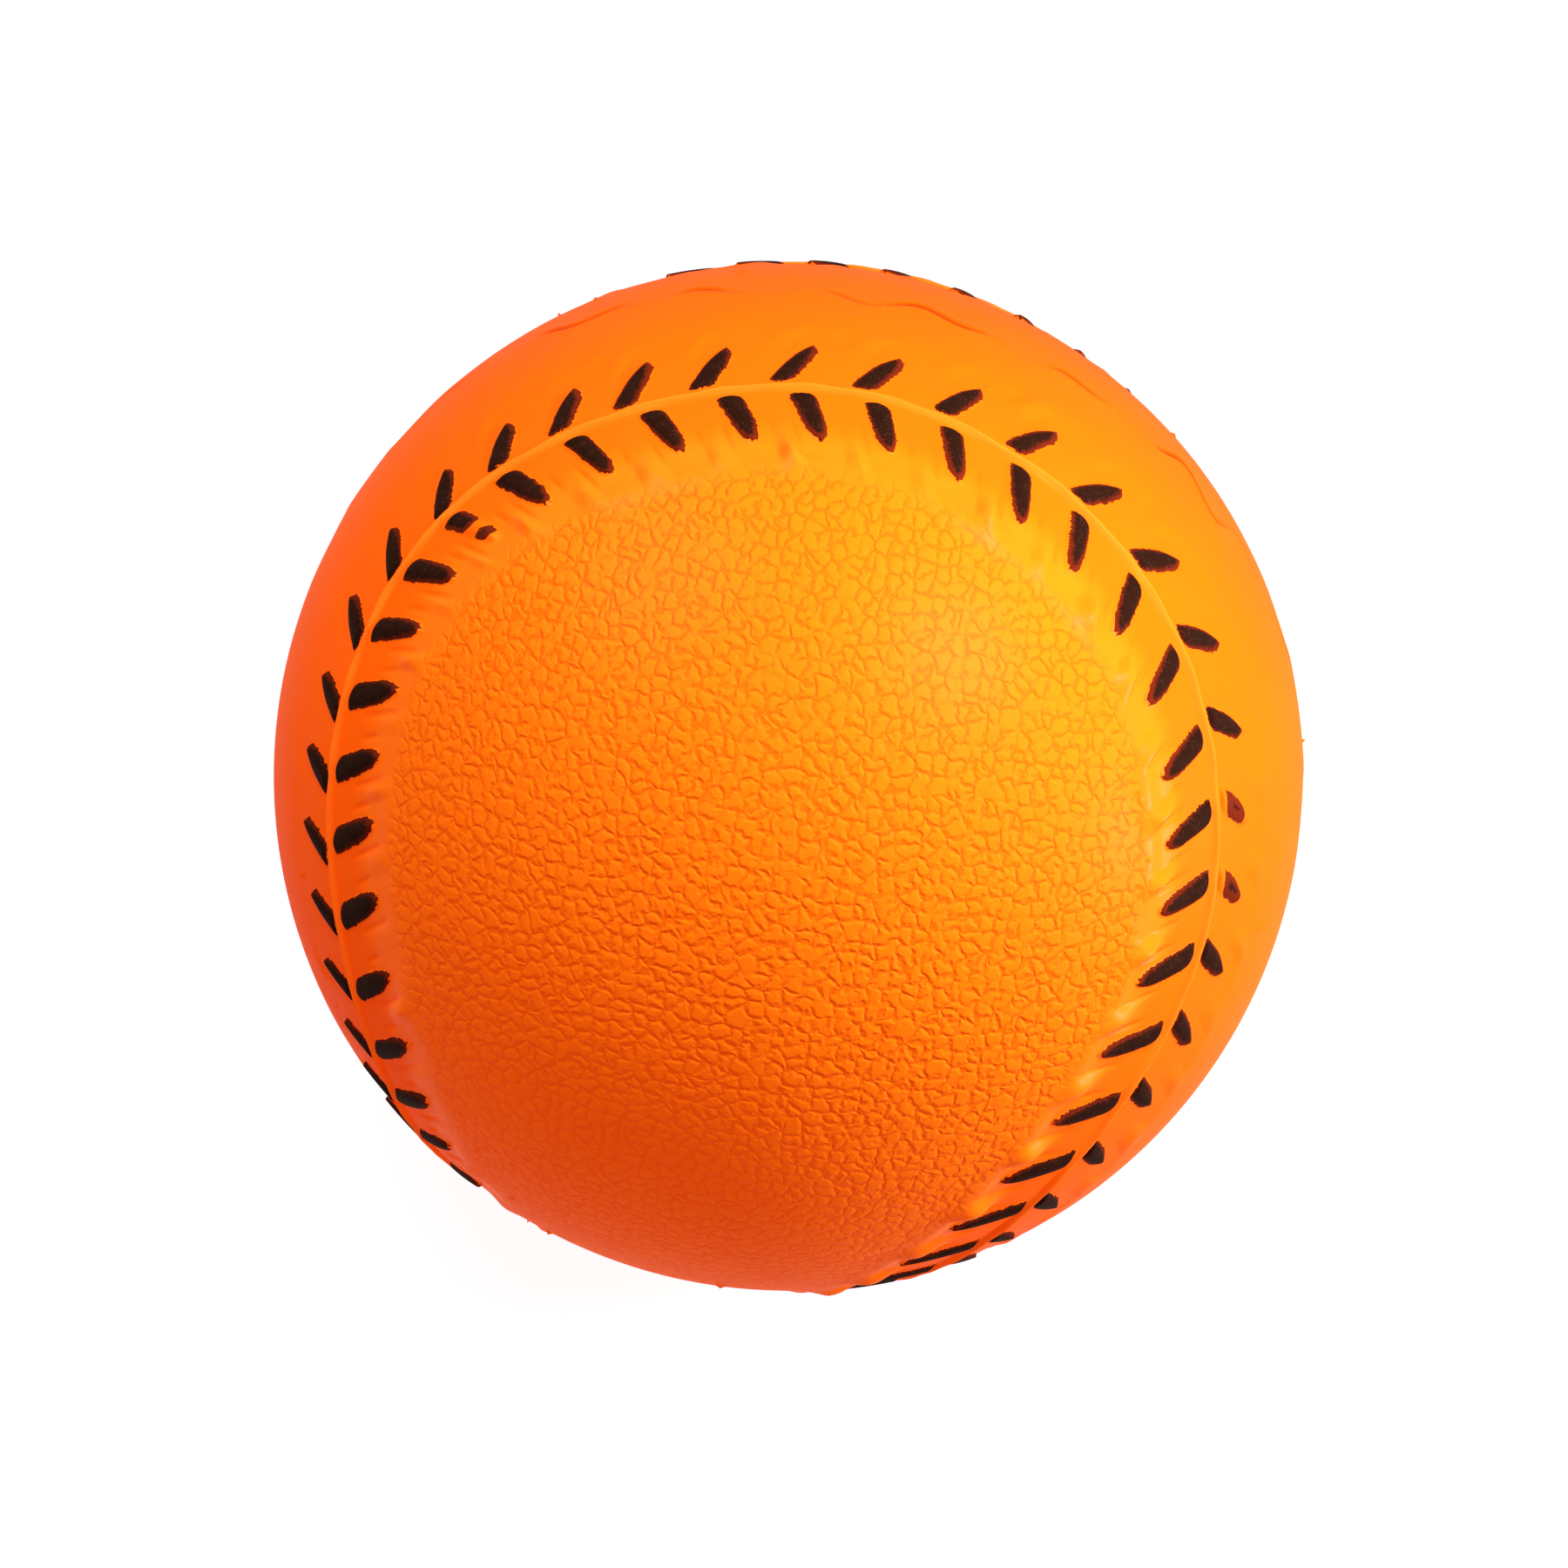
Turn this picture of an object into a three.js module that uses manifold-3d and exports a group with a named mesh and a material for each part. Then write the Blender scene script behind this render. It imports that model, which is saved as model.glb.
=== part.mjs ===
// Soft foam practice baseball. Millimetres, +Z up, origin at the centre of the ball.
// The seam's front loop faces -Y with its closed end at the top. The mould parts on the XZ plane.

import * as THREE from 'three';
import { ConvexHull } from 'three/addons/math/ConvexHull.js';
import { mergeVertices } from 'three/addons/utils/BufferGeometryUtils.js';
import Module from 'manifold-3d';

const wasm = await Module();
wasm.setup();

// Ball and its layers
const BALL_RADIUS = 36.0;
const SKIN_THICKNESS = 1.2;
const FOAM_CLEARANCE = 0.3;
const PARTING_CLEARANCE = 0.3;

// Flash, the low ridge left where the two mould halves meet
const FLASH_HEIGHT = 0.15;
const FLASH_CREST_WIDTH = 0.5;
const FLASH_WIDTH = 1.8;

// Seam line on a ball of radius 1: how round its loops are and how far they climb
const LOOP_ROUNDNESS = 0.646;
const LOOP_CLIMB = 1.104;

// Seam rib, a thin raised line
const RIB_WIDTH = 0.9;
const RIB_HEIGHT = 0.38;

// Stitches, moulded in slanted pairs that open along the seam
const STITCH_PAIRS = 90;
const FIRST_STITCH_PITCHES = 0.917;
const SPACING_DRIFT = 1.15;
const DRIFT_WAVES = 3;
const ROW_STAGGER = 1.0;
const STITCH_CLEARANCE = 0.1;
const STITCH_SLANT = THREE.MathUtils.degToRad(26.5);
const STITCH_WIDTH = 1.5;
const STITCH_TIP_WIDTH = 0.6;
const STITCH_CROWN = 0.35;

// Pleats that the stitches draw up round their far ends
const PLEAT_WIDTH = 1.3;

// The two rows of stitches: side 1 lies on the front and back loops' panel, side -1 on the other
const STITCH_ROWS = [
  { side: 1, reach: 4.6, stagger: 0, pleat: 0.16 },
  { side: -1, reach: 4.1, stagger: ROW_STAGGER, pleat: 0.06 },
];

// Facets
const PANEL_DETAIL = 8;
const FLASH_STEPS = 80;
const INNER_SEGMENTS = 30;
const SEAM_SAMPLES = 1440;

// Finishes
const SKIN_ORANGE = 0xff7a08;
const FOAM_CREAM = 0xf3dfae;
const STITCH_BLACK = new THREE.Color(0.03, 0.025, 0.03);
const UNPAINTED = new THREE.Color(1, 1, 1);

// Seam line

function seamDirection(turn) {
  const angle = turn * 2 * Math.PI;
  return new THREE.Vector3(
    Math.cos(angle) - LOOP_ROUNDNESS * Math.cos(3 * angle),
    -Math.sin(angle) - LOOP_ROUNDNESS * Math.sin(3 * angle),
    -LOOP_CLIMB * Math.cos(2 * angle),
  ).normalize();
}

const seamPoints = [];
const seamTravel = [0];
for (let i = 0; i <= SEAM_SAMPLES; i += 1) {
  seamPoints.push(seamDirection(i / SEAM_SAMPLES));
  if (i > 0) {
    seamTravel.push(seamTravel[i - 1] + seamPoints[i].angleTo(seamPoints[i - 1]) * BALL_RADIUS);
  }
}
const seamLength = seamTravel[SEAM_SAMPLES];
const stitchPitch = seamLength / STITCH_PAIRS;

function turnAt(travel) {
  const wanted = THREE.MathUtils.euclideanModulo(travel, seamLength);
  let low = 0;
  let high = SEAM_SAMPLES;
  while (high - low > 1) {
    const middle = Math.floor((low + high) / 2);
    if (seamTravel[middle] > wanted) {
      high = middle;
    } else {
      low = middle;
    }
  }
  const within = (wanted - seamTravel[low]) / (seamTravel[high] - seamTravel[low]);
  return (low + within) / SEAM_SAMPLES;
}

// A direction from the ball's centre, by its travel along the seam and its offset to side 1
function directionBeside(travel, offset) {
  const turn = turnAt(travel);
  const outward = seamDirection(turn);
  const ahead = seamDirection(turn + 0.5 / SEAM_SAMPLES);
  const behind = seamDirection(turn - 0.5 / SEAM_SAMPLES);
  const along = ahead.sub(behind).normalize();
  const side = new THREE.Vector3().crossVectors(outward, along).normalize();
  const bend = offset / BALL_RADIUS;
  return outward.multiplyScalar(Math.cos(bend)).addScaledVector(side, Math.sin(bend));
}

function distanceToSeam(direction) {
  const closest = Math.max(...seamPoints.map((point) => point.dot(direction)));
  return Math.acos(Math.min(closest, 1)) * BALL_RADIUS;
}

// The skin's outer face: points as directions with heights, and triangles that are bare or painted

const skin = { directions: [], heights: [], bare: [], painted: [] };

function addPoint(direction, height) {
  skin.heights.push(height);
  return skin.directions.push(direction.normalize()) - 1;
}

function stitchMiddle(pair, stagger) {
  const drift = SPACING_DRIFT * Math.sin((DRIFT_WAVES * 2 * Math.PI * pair) / STITCH_PAIRS);
  return (pair + FIRST_STITCH_PITCHES) * stitchPitch - drift + stagger;
}

// Each pitch has four columns: a stitch's two edges with its crown between them, and the gap after it.
// Each stitch runs over four bands: its near end, its straight flank, and its taper to the tip.
function stitchBands({ reach, pleat }) {
  const near = RIB_WIDTH / 2 + STITCH_CLEARANCE;
  const crownStart = near + STITCH_WIDTH / 2;
  const crownEnd = reach - STITCH_WIDTH / 2;
  const edge = STITCH_WIDTH / 2 / Math.cos(STITCH_SLANT);
  const tip = STITCH_TIP_WIDTH / 2 / Math.cos(STITCH_SLANT);
  return [
    { distance: RIB_WIDTH / 2, edge, crown: 0, gap: 0 },
    { distance: near, edge, crown: 0, gap: 0 },
    { distance: crownStart, edge, crown: STITCH_CROWN, gap: 0 },
    { distance: crownEnd, edge, crown: STITCH_CROWN, gap: pleat / 2 },
    { distance: reach, edge: tip, crown: 0, gap: pleat },
  ];
}

function columnTravels(pair, row, distance, edge) {
  const middle = (RIB_WIDTH / 2 + STITCH_CLEARANCE + row.reach) / 2;
  const lean = (distance - middle) * Math.tan(STITCH_SLANT);
  const here = stitchMiddle(pair, row.stagger) - lean;
  const next = stitchMiddle(pair + 1, row.stagger) - lean;
  return [here - edge, here, here + edge, (here + next) / 2];
}

function addCrest() {
  const crest = [];
  const edge = STITCH_WIDTH / 2 / Math.cos(STITCH_SLANT);
  for (let pair = 0; pair < STITCH_PAIRS; pair += 1) {
    const [first, second] = STITCH_ROWS.map((row) => columnTravels(pair, row, RIB_WIDTH / 2, edge));
    first.forEach((travel, column) => {
      crest.push(addPoint(directionBeside((travel + second[column]) / 2, 0), RIB_HEIGHT));
    });
  }
  return crest;
}

function addBand(row, band) {
  const line = [];
  for (let pair = 0; pair < STITCH_PAIRS; pair += 1) {
    const heights = [0, band.crown, 0, band.gap];
    columnTravels(pair, row, band.distance, band.edge).forEach((travel, column) => {
      line.push(addPoint(directionBeside(travel, row.side * band.distance), heights[column]));
    });
  }
  return line;
}

// Joins two lines of points, with the faces between a stitch's edges painted
function joinLines(inner, outer, side, painted) {
  for (let i = 0; i < inner.length; i += 1) {
    const next = (i + 1) % inner.length;
    const onStitch = painted && i % 4 < 2;
    const faces = onStitch ? skin.painted : skin.bare;
    const quad = [inner[i], inner[next], outer[next], outer[i]];
    const halves = i % 4 === 0
      ? [[quad[0], quad[1], quad[2]], [quad[0], quad[2], quad[3]]]
      : [[quad[0], quad[1], quad[3]], [quad[1], quad[2], quad[3]]];
    halves.forEach((half) => faces.push(side > 0 ? half : half.reverse()));
  }
}

function addStitchRow(row, crest) {
  const lines = stitchBands(row).map((band) => addBand(row, band));
  joinLines(crest, lines[0], row.side, false);
  for (let band = 1; band < lines.length; band += 1) {
    joinLines(lines[band - 1], lines[band], row.side, band > 1);
  }
  return lines[lines.length - 1];
}

function addPleatEnds(row) {
  const distance = row.reach + PLEAT_WIDTH;
  for (let pair = 0; pair < STITCH_PAIRS; pair += 1) {
    const [, tip, , gap] = columnTravels(pair, row, distance, 0);
    addPoint(directionBeside(tip, row.side * distance), -row.pleat / 2);
    addPoint(directionBeside(gap, row.side * distance), row.pleat / 2);
  }
}

function addFlash(clearOfSeam) {
  const rings = [
    { offset: FLASH_CREST_WIDTH / 2, height: FLASH_HEIGHT },
    { offset: FLASH_WIDTH / 2, height: 0 },
  ];
  for (let step = 0; step < FLASH_STEPS; step += 1) {
    const angle = (step * 2 * Math.PI) / FLASH_STEPS;
    const rim = new THREE.Vector3(Math.cos(angle), 0, Math.sin(angle));
    if (distanceToSeam(rim) > clearOfSeam) {
      rings.forEach(({ offset, height }) => [-1, 1].forEach((side) => {
        addPoint(rim.clone().setY((side * offset) / BALL_RADIUS), height);
      }));
    }
  }
}

function addPanels(clearOfSeam, clearOfParting) {
  const lattice = new THREE.IcosahedronGeometry(1, PANEL_DETAIL);
  lattice.deleteAttribute('normal');
  lattice.deleteAttribute('uv');
  const points = mergeVertices(lattice).attributes.position;
  for (let i = 0; i < points.count; i += 1) {
    const direction = new THREE.Vector3().fromBufferAttribute(points, i);
    const fromParting = Math.abs(direction.y) * BALL_RADIUS;
    if (fromParting > clearOfParting && distanceToSeam(direction) > clearOfSeam) {
      addPoint(direction, 0);
    }
  }
}

// Fills the panels between the two seam edges with the hull of their points, face by face from one face
// well inside a panel out to the edges
function fillPanels(edges) {
  const fenced = new Set();
  edges.forEach((edge) => edge.forEach((point, i) => {
    const next = edge[(i + 1) % edge.length];
    fenced.add(`${point} ${next}`);
    fenced.add(`${next} ${point}`);
  }));
  const bandPoints = new Set([...skin.bare, ...skin.painted].flat());
  edges.forEach((edge) => edge.forEach((point) => bandPoints.delete(point)));
  const indexOf = new Map();
  skin.directions.forEach((direction, index) => {
    if (!bandPoints.has(index)) {
      indexOf.set(direction, index);
    }
  });
  const hull = new ConvexHull().setFromPoints([...indexOf.keys()]);
  const edgePoints = new Set(edges.flat());
  const faces = hull.faces.map((face) => {
    const corners = [face.edge, face.edge.next, face.edge.next.next];
    return corners.map((corner) => indexOf.get(corner.head().point));
  });
  const faceBeside = new Map();
  faces.forEach((face, index) => face.forEach((point, i) => faceBeside.set(`${point} ${face[(i + 1) % 3]}`, index)));
  const waiting = faces.flatMap((face, index) => (face.some((point) => edgePoints.has(point)) ? [] : [index]));
  const taken = new Set(waiting);
  while (waiting.length > 0) {
    const face = faces[waiting.pop()];
    skin.bare.push(face);
    face.forEach((point, i) => {
      const next = face[(i + 1) % 3];
      const beside = faceBeside.get(`${next} ${point}`);
      if (!fenced.has(`${point} ${next}`) && !taken.has(beside)) {
        taken.add(beside);
        waiting.push(beside);
      }
    });
  }
}

// Solids

function solidFrom(geometry) {
  const bare = geometry.clone();
  bare.deleteAttribute('normal');
  bare.deleteAttribute('uv');
  const merged = mergeVertices(bare, 1e-4);
  const corners = merged.index.array;
  const triangles = [];
  for (let i = 0; i < corners.length; i += 3) {
    const [a, b, c] = [corners[i], corners[i + 1], corners[i + 2]];
    if (a !== b && b !== c && c !== a) {
      triangles.push(a, b, c);
    }
  }
  return new wasm.Manifold(new wasm.Mesh({
    numProp: 3,
    vertProperties: merged.attributes.position.array,
    triVerts: new Uint32Array(triangles),
  }));
}

const bareId = wasm.Manifold.reserveIDs(2);
const paintedId = bareId + 1;

function skinSolid() {
  const crest = addCrest();
  const edges = STITCH_ROWS.map((row) => addStitchRow(row, crest));
  STITCH_ROWS.forEach(addPleatEnds);
  const panelStart = STITCH_ROWS[0].reach + 2 * PLEAT_WIDTH;
  addFlash(panelStart);
  addPanels(panelStart, FLASH_WIDTH);
  fillPanels(edges);
  const positions = skin.directions.flatMap((direction, i) => (
    direction.clone().multiplyScalar(BALL_RADIUS + skin.heights[i]).toArray()
  ));
  return new wasm.Manifold(new wasm.Mesh({
    numProp: 3,
    vertProperties: new Float32Array(positions),
    triVerts: new Uint32Array([...skin.bare, ...skin.painted].flat()),
    runIndex: new Uint32Array([0, skin.bare.length * 3, (skin.bare.length + skin.painted.length) * 3]),
    runOriginalID: new Uint32Array([bareId, paintedId]),
  }));
}

// The drawable geometry of a solid, with its painted faces dark
function paintedGeometry(solid) {
  const mesh = solid.getMesh();
  const positions = [];
  const colours = [];
  for (let run = 0; run < mesh.runOriginalID.length; run += 1) {
    const colour = mesh.runOriginalID[run] === paintedId ? STITCH_BLACK : UNPAINTED;
    for (let i = mesh.runIndex[run]; i < mesh.runIndex[run + 1]; i += 1) {
      const start = mesh.triVerts[i] * mesh.numProp;
      positions.push(...mesh.vertProperties.slice(start, start + 3));
      colours.push(colour.r, colour.g, colour.b);
    }
  }
  const geometry = new THREE.BufferGeometry();
  geometry.setAttribute('position', new THREE.Float32BufferAttribute(positions, 3));
  geometry.setAttribute('color', new THREE.Float32BufferAttribute(colours, 3));
  geometry.computeVertexNormals();
  return geometry;
}

// Pieces

const skinMaterial = new THREE.MeshStandardMaterial({
  color: SKIN_ORANGE,
  roughness: 0.42,
  metalness: 0,
  vertexColors: true,
});
const foamMaterial = new THREE.MeshStandardMaterial({ color: FOAM_CREAM, roughness: 0.95, metalness: 0 });

const cavityRadius = BALL_RADIUS - SKIN_THICKNESS;
const coreRadius = cavityRadius - FOAM_CLEARANCE;
const cavity = solidFrom(new THREE.SphereGeometry(cavityRadius, INNER_SEGMENTS, INNER_SEGMENTS / 2));
const shell = skinSolid().subtract(cavity);

function makeSkinHalf(name, side) {
  const size = 4 * BALL_RADIUS;
  const keep = new THREE.BoxGeometry(size, size, size);
  keep.translate(0, (side * (size + PARTING_CLEARANCE)) / 2, 0);
  const half = new THREE.Mesh(paintedGeometry(shell.intersect(solidFrom(keep))), skinMaterial);
  half.name = name;
  return half;
}

function makeFoamCore() {
  const core = new THREE.Mesh(
    new THREE.SphereGeometry(coreRadius, INNER_SEGMENTS, INNER_SEGMENTS / 2),
    foamMaterial,
  );
  core.name = 'foam_core';
  return core;
}

const ball = new THREE.Group();
ball.name = 'soft_baseball';
ball.add(makeFoamCore());
ball.add(makeSkinHalf('skin_front_half', -1));
ball.add(makeSkinHalf('skin_back_half', 1));

export default ball;
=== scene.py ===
"""Soft foam practice baseball: its moulded skin, the paint on its stitches and the foam inside.

Sizes here are in millimetres, like the mould's, and become metres where a mesh is made.
"""

import math

import bpy
import numpy as np
from mathutils import Matrix, Vector


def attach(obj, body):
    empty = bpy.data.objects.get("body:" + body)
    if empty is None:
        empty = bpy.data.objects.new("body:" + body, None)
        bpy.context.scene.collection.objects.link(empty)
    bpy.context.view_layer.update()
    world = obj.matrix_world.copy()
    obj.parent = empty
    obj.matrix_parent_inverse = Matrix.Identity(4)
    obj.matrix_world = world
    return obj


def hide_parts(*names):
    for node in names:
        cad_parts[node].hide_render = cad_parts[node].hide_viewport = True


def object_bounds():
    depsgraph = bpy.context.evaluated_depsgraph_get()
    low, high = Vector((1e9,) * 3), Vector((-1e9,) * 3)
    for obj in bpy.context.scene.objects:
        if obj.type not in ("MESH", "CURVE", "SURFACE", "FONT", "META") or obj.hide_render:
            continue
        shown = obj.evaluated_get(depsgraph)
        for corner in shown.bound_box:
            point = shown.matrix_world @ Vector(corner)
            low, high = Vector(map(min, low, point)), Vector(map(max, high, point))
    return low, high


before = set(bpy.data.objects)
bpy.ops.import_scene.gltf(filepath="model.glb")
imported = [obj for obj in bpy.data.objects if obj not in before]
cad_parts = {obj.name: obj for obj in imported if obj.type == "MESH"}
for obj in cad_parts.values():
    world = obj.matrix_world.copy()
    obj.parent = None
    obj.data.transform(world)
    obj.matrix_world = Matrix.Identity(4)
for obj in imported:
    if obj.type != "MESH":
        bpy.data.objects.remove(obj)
cad_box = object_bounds()

MM = 0.001
SEED = 90

# Ball and its layers
BALL_RADIUS = 36.0
BAND_RADIUS = 35.72
PANEL_STEP = 0.16
SKIN_THICKNESS = 1.2
FOAM_RADIUS = 34.5
PARTING_GAP = 0.02

# A point closer than this to the parting plane lies on it
ON_PARTING = 1e-9

# Seam line on a ball of radius 1: how round its loops are and how far they climb
LOOP_ROUNDNESS = 0.646
LOOP_CLIMB = 1.104

# Steps of the seam's table, the step for its slopes, and how many places are looked up at once
SEAM_SAMPLES = 720
TURN_STEP = 0.25 / SEAM_SAMPLES
PLACES_AT_ONCE = 20000

# Seam rib, and how far it strays and how much its height varies
RIB_HALF_WIDTH = 0.23
RIB_HEIGHT = 0.33
RIB_WANDER = 0.05
RIB_UNEVEN = 0.1

# Stitches, in slanted pairs
STITCH_PAIRS = 90
FIRST_STITCH_PITCHES = 0.917
SPACING_DRIFT = 1.15
DRIFT_WAVES = 3
STITCH_NEAR = 0.55
STITCH_SLANT = math.radians(25)
STITCH_CROWN = 0.26
CROWN_START = 0.06
TAPER_START = 0.42
FLANK_TAPER = 0.1
CORNER_SHARE = 0.13
CORNER_WIDTH = 0.6

# Stitches are longer and wider along the loops' sides than over their ends
LOOP_SIDES = 4
SIDE_PAIR = 9.5
SIDE_WIDENING = 0.06

# How uneven the stitches are: millimetres of place and reach, a share of the width, degrees of slant
UNEVEN_PLACE = 0.05
UNEVEN_REACH = 0.14
UNEVEN_WIDTH = 0.05
UNEVEN_SLANT = 1.6

# Pleats: a pocket round each stitch, and the puffed skin between the pockets
POCKET_RADIUS = 1.4
POCKET_WALL = 0.95
POCKET_OPENING = 0.3
PLEAT_BULGE = 0.6
PLEAT_CREST = 5.5
PLEAT_SPREAD = 1.15
CREASE_DEPTH = 0.17
CREASE_WIDTH = 0.17

# Where relief starts and where it is full, from the seam, and for the crease's end past the stitch's tip
PANEL_RISE = (3.2, 6.2)
SIDE_PANEL_RISE = (4, 9)
PLEAT_RISE = (1.6, 4.6)
POCKET_END = (5.0, 7.3)
CREASE_RISE = (2.2, 3.8)
CREASE_END = (-0.7, 0.4)

# Pleats come and go along the seam: how many times, where they stand most, by how much, and unevenly
PLEAT_TIMES = 2
PLEAT_PAIR = 12
PLEAT_SWAY = 0.4
PLEAT_UNEVEN = 0.3

# Hand work in the mould, as waves round the seam: millimetres, how many, and degrees at its start
SEAM_WAVES = ((0.32, 10, -139), (0.22, 4, 25), (0.32, 11, 2), (0.10, 18, 54))

# Where the back loop's seam leaves its line: the share of the way round and its spread, and how far
# the seam goes sideways and its stitches along it
BACK_SHARE = 0.753
BACK_SPREAD = 0.075
BACK_SHIFT = 3.1
BACK_SLIP = 2.7

# The two rows: side 1 lies on the front and back loops' panel, side -1 on the other
STITCH_ROWS = (
    {
        "name": "loop_panel_stitches", "side": 1, "reach": 4.7, "longer": 0.42, "width": 1.6,
        "slant": 24.0, "stagger": 0.0, "pleat": 1.0,
        "waves": ((0.34, 12, -100), (0.50, 4, -152), (0.27, 6, -160), (0.17, 20, 172)),
    },
    {
        "name": "side_panel_stitches", "side": -1, "reach": 3.85, "longer": -0.2, "width": 1.5,
        "slant": 25.5, "stagger": 1.0, "pleat": 0.3,
        "waves": ((0.36, 8, 88), (0.23, 14, -147), (0.26, 4, 180), (0.22, 10, 77)),
    },
)

# Paint on the stitches
PAINT_THICKNESS = 0.035
PAINT_ROOT = 0.08
PAINT_STEPS_ALONG = 48
PAINT_STEPS_ACROSS = 12

# Ragged edges: how far, and the shares of the rough and of the longer waves
PAINT_RAGGED = 0.04
ROUGH_SHARE = 0.55
WAVE_SHARE = 1.1
WAVE_POINTS = 5

# Where a film is full thickness, the narrowest half width whose edge is ragged, and how much of the
# stitch's length its near end lies inside the paint
PAINT_EDGE_RISE = (-0.03, 0.12)
RAGGED_LEAST = 0.2
ROOT_COVER = 0.05

# Films end round where a stitch is painted in part: the shares of the film that its round ends take, how
# pointed they are, and the last share of the stitch that a film's width is taken from
CLOSING_SHARE = 0.28
OPENING_SHARE = 0.3
ROUND_LEAST = 0.004
LAST_SHARE = 0.97

# What the brush left out or laid on thin, by row and pair: the painted shares of the stitch, and how thin
SPARSE_PAINT = {
    (0, 27): {"spans": ((0.0, 0.5), (0.68, 0.9)), "thin": 0.35},
    (1, 13): {"spans": ((0.16, 0.9),), "thin": 0.7},
    (1, 14): {"spans": ((0.14, 0.8),), "thin": 0.9},
}
MOST_THIN = 0.25
THIN_AT_TIP = 0.35

# Flash where the mould halves meet, with a crease along its top
FLASH_HEIGHT = 0.13
FLASH_WIDTH = 0.9
FLASH_CREASE = 0.22
FLASH_CREASE_WIDTH = 0.32
FLASH_RISE = (5.2, 7.5)

# How the flash's ridge and crease come and go: mean, sway, least and most
RIDGE_SWAY = (0.55, 0.45, 0.1, 1.2)
CREASE_SWAY = (0.35, 1.0, 0.05, 1)

# How far the flash strays from the parting plane, where that starts and is full from the seam, and how
# wide a strip of skin goes along
FLASH_WANDER = 0.8
WANDER_RISE = (4, 8)
WANDER_SPREAD = 3

# Leather grain: its cells and grooves, where it starts and is full, and where a groove takes painted shade
GRAIN_CELL = 0.94
GRAIN_HEIGHT = 0.09
GRAIN_RISE = (5.8, 7.8)
SIDE_GRAIN = 0.14
GRAIN_RANDOMNESS = 0.85
GROOVE_RISE = (-0.03, 0.32)
GROOVE_SHADE_RISE = (0.0, 0.15)

# What bends the cells and what makes some grooves shallow: the size of each noise, and how much
BEND_SIZE = 1.1
BEND = 0.9
WOBBLE_SIZE = 0.5
WOBBLE = 0.5
SHALLOW_SIZE = 0.8
SHALLOW_RISE = (0.32, 0.52)
SHALLOWEST = 0.3

# How far apart the ball's halves lie where the grain's pattern is laid out flat
HALVES_APART = 100.0

# Lengths of the meshes' edges, the longest, and how much longer than wanted an edge may be
RIB_EDGE = 0.11
STITCH_EDGE = 0.19
PANEL_EDGE = 0.38
INNER_EDGE = 1.6
FOAM_EDGE = 0.9
LONGEST_EDGE = 2.0
EDGE_SLACK = 1.35

# How far from the seam and from the parting plane the fine edges go
STITCH_REACH = 7.2
RIB_REACH = 0.8
PARTING_REACH = 0.8
PARTING_SHARE = 1.3

# Pits in the foam's face, and the open cells in its finish
PIT_SIZE = 2.2
PIT_DEPTH = 0.25
PIT_START = 0.45
FOAM_CELL = 0.6
OPEN_CELL_RISE = (0.15, 0.5)
OPEN_CELL_DEPTH = 0.2
FOAM_ROUGHNESS = 0.9

# Camera, round the ball's centre
VIEW_AZIMUTH = math.radians(1.44)
VIEW_ELEVATION = math.radians(32.76)
VIEW_ROLL = math.radians(12.04)
VIEW_DISTANCE = 150.0
LENS = 47.95
SENSOR = 36.0
SHIFT_X = -0.0027
SHIFT_Y = -0.005

# Lamps: direction in the camera's right, up and back, distance and width in millimetres, and light,
# where 1 shows a white face at the ball's centre as white
LAMPS = (
    {"name": "key", "toward": (0.46, 0.34, 0.82), "distance": 95, "width": 30, "light": 0.62},
    {"name": "side", "toward": (0.92, -0.14, 0.37), "distance": 110, "width": 26, "light": 0.54},
    {"name": "top", "toward": (-0.33, 0.56, 0.76), "distance": 110, "width": 50, "light": 0.31},
)

# Surroundings: their light on the ball, the floor, and the rays that see both as white
AMBIENT = 0.2
FLOOR_GREY = 0.3
FLOOR_SHOWN = 0.94
FLOOR_RADIUS = 2500.0
FLOOR_CORNERS = 96
FREE_RAYS = ("Camera", "Glossy", "Transmission")

# Colours, linear
SKIN_ORANGE = (0.96, 0.18, 0.003)
PANEL_ORANGE = (0.96, 0.245, 0.004)
# Painted shade that darkens the grain's grooves
GROOVE_SHADE_ORANGE = (0.6, 0.12, 0.002)
# Painted shade that darkens the flash's crease
CREASE_SHADE_BROWN = (0.2, 0.02, 0.001)
# Painted highlight: a paler orange along the seam rib
RIB_HIGHLIGHT_ORANGE = (1.0, 0.255, 0.012)
# A painted red glow that lifts the skin's shade, though the skin is no lamp
GLOW_RED = (1.0, 0.02, 0.0)
GLOW_STRENGTH = 0.48
PAINT_BLACK = (0.026, 0.007, 0.003)
PAINT_DUST = (0.06, 0.018, 0.012)
PAINT_MAROON = (0.2, 0.02, 0.005)
FOAM_CREAM = (0.88, 0.72, 0.42)
FOAM_SHADE = (0.62, 0.45, 0.2)

# Where the skin's finishes and the painted highlight on its rib lie, in millimetres from the seam, and the
# sizes of its noises
PANEL_COLOUR_RISE = (2.5, 5.0)
RIB_HIGHLIGHT_RISE = (0.12, 0.42)
PLEAT_GLOSS_RISE = (3.4, 4.8)
PANEL_GLOSS_RISE = (6.4, 8.0)
PORE_SIZE = 0.25
CLOUD_SIZE = 9.0

# Strengths of the skin's finishes, with the painted shade in its grooves and in the flash's crease
GROOVE_SHADE_SHARE = 0.55
CREASE_SHADE_SHARE = 0.9
CLOUD_LEAST = 0.955
CLOUD_SPREAD = 0.09
PORE_DEPTH = 0.006
PLEAT_GLOSS = 0.12
PANEL_GLOSS = 0.04
GLOSS_ROUGHNESS = 0.34
SKIN_ROUGHNESS = 0.5
PORE_ROUGHNESS = 0.08
SKIN_IOR = 1.09

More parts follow.
